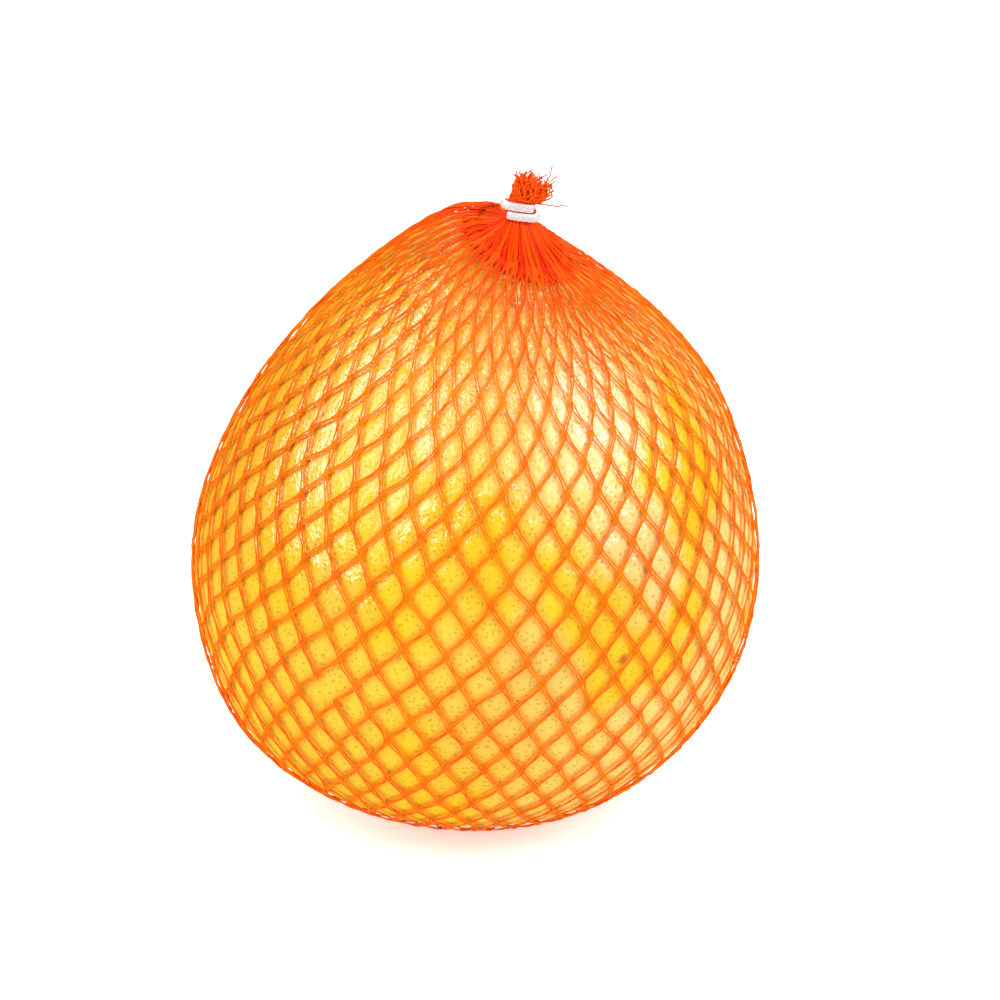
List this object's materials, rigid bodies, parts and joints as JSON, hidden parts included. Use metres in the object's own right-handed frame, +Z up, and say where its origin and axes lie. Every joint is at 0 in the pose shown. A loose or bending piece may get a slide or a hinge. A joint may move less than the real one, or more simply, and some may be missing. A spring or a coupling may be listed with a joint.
{
  "type": "pomelo",
  "caption": "Large yellow pomelo, broad below and drawn up to a blunt neck, in an orange diamond-mesh net gathered beside the stem end and pinched by a wire clip.",
  "frame": {"origin": "on the ground under the middle of the fruit's bounding box", "axes": "+Z up through the fruit, -Y to the front, +X to the right, the side that the net's gathered neck leans to"},
  "size_m": [0.1455, 0.145, 0.1712],
  "materials": {
    "rind": null,
    "net": "orange knitted polyethylene net, slightly translucent",
    "clip": "satin aluminium wire"
  },
  "bodies": {
    "root": {"pomelo_fruit": "rind", "net": "net", "clip": "clip"}
  },
  "joints": []
}
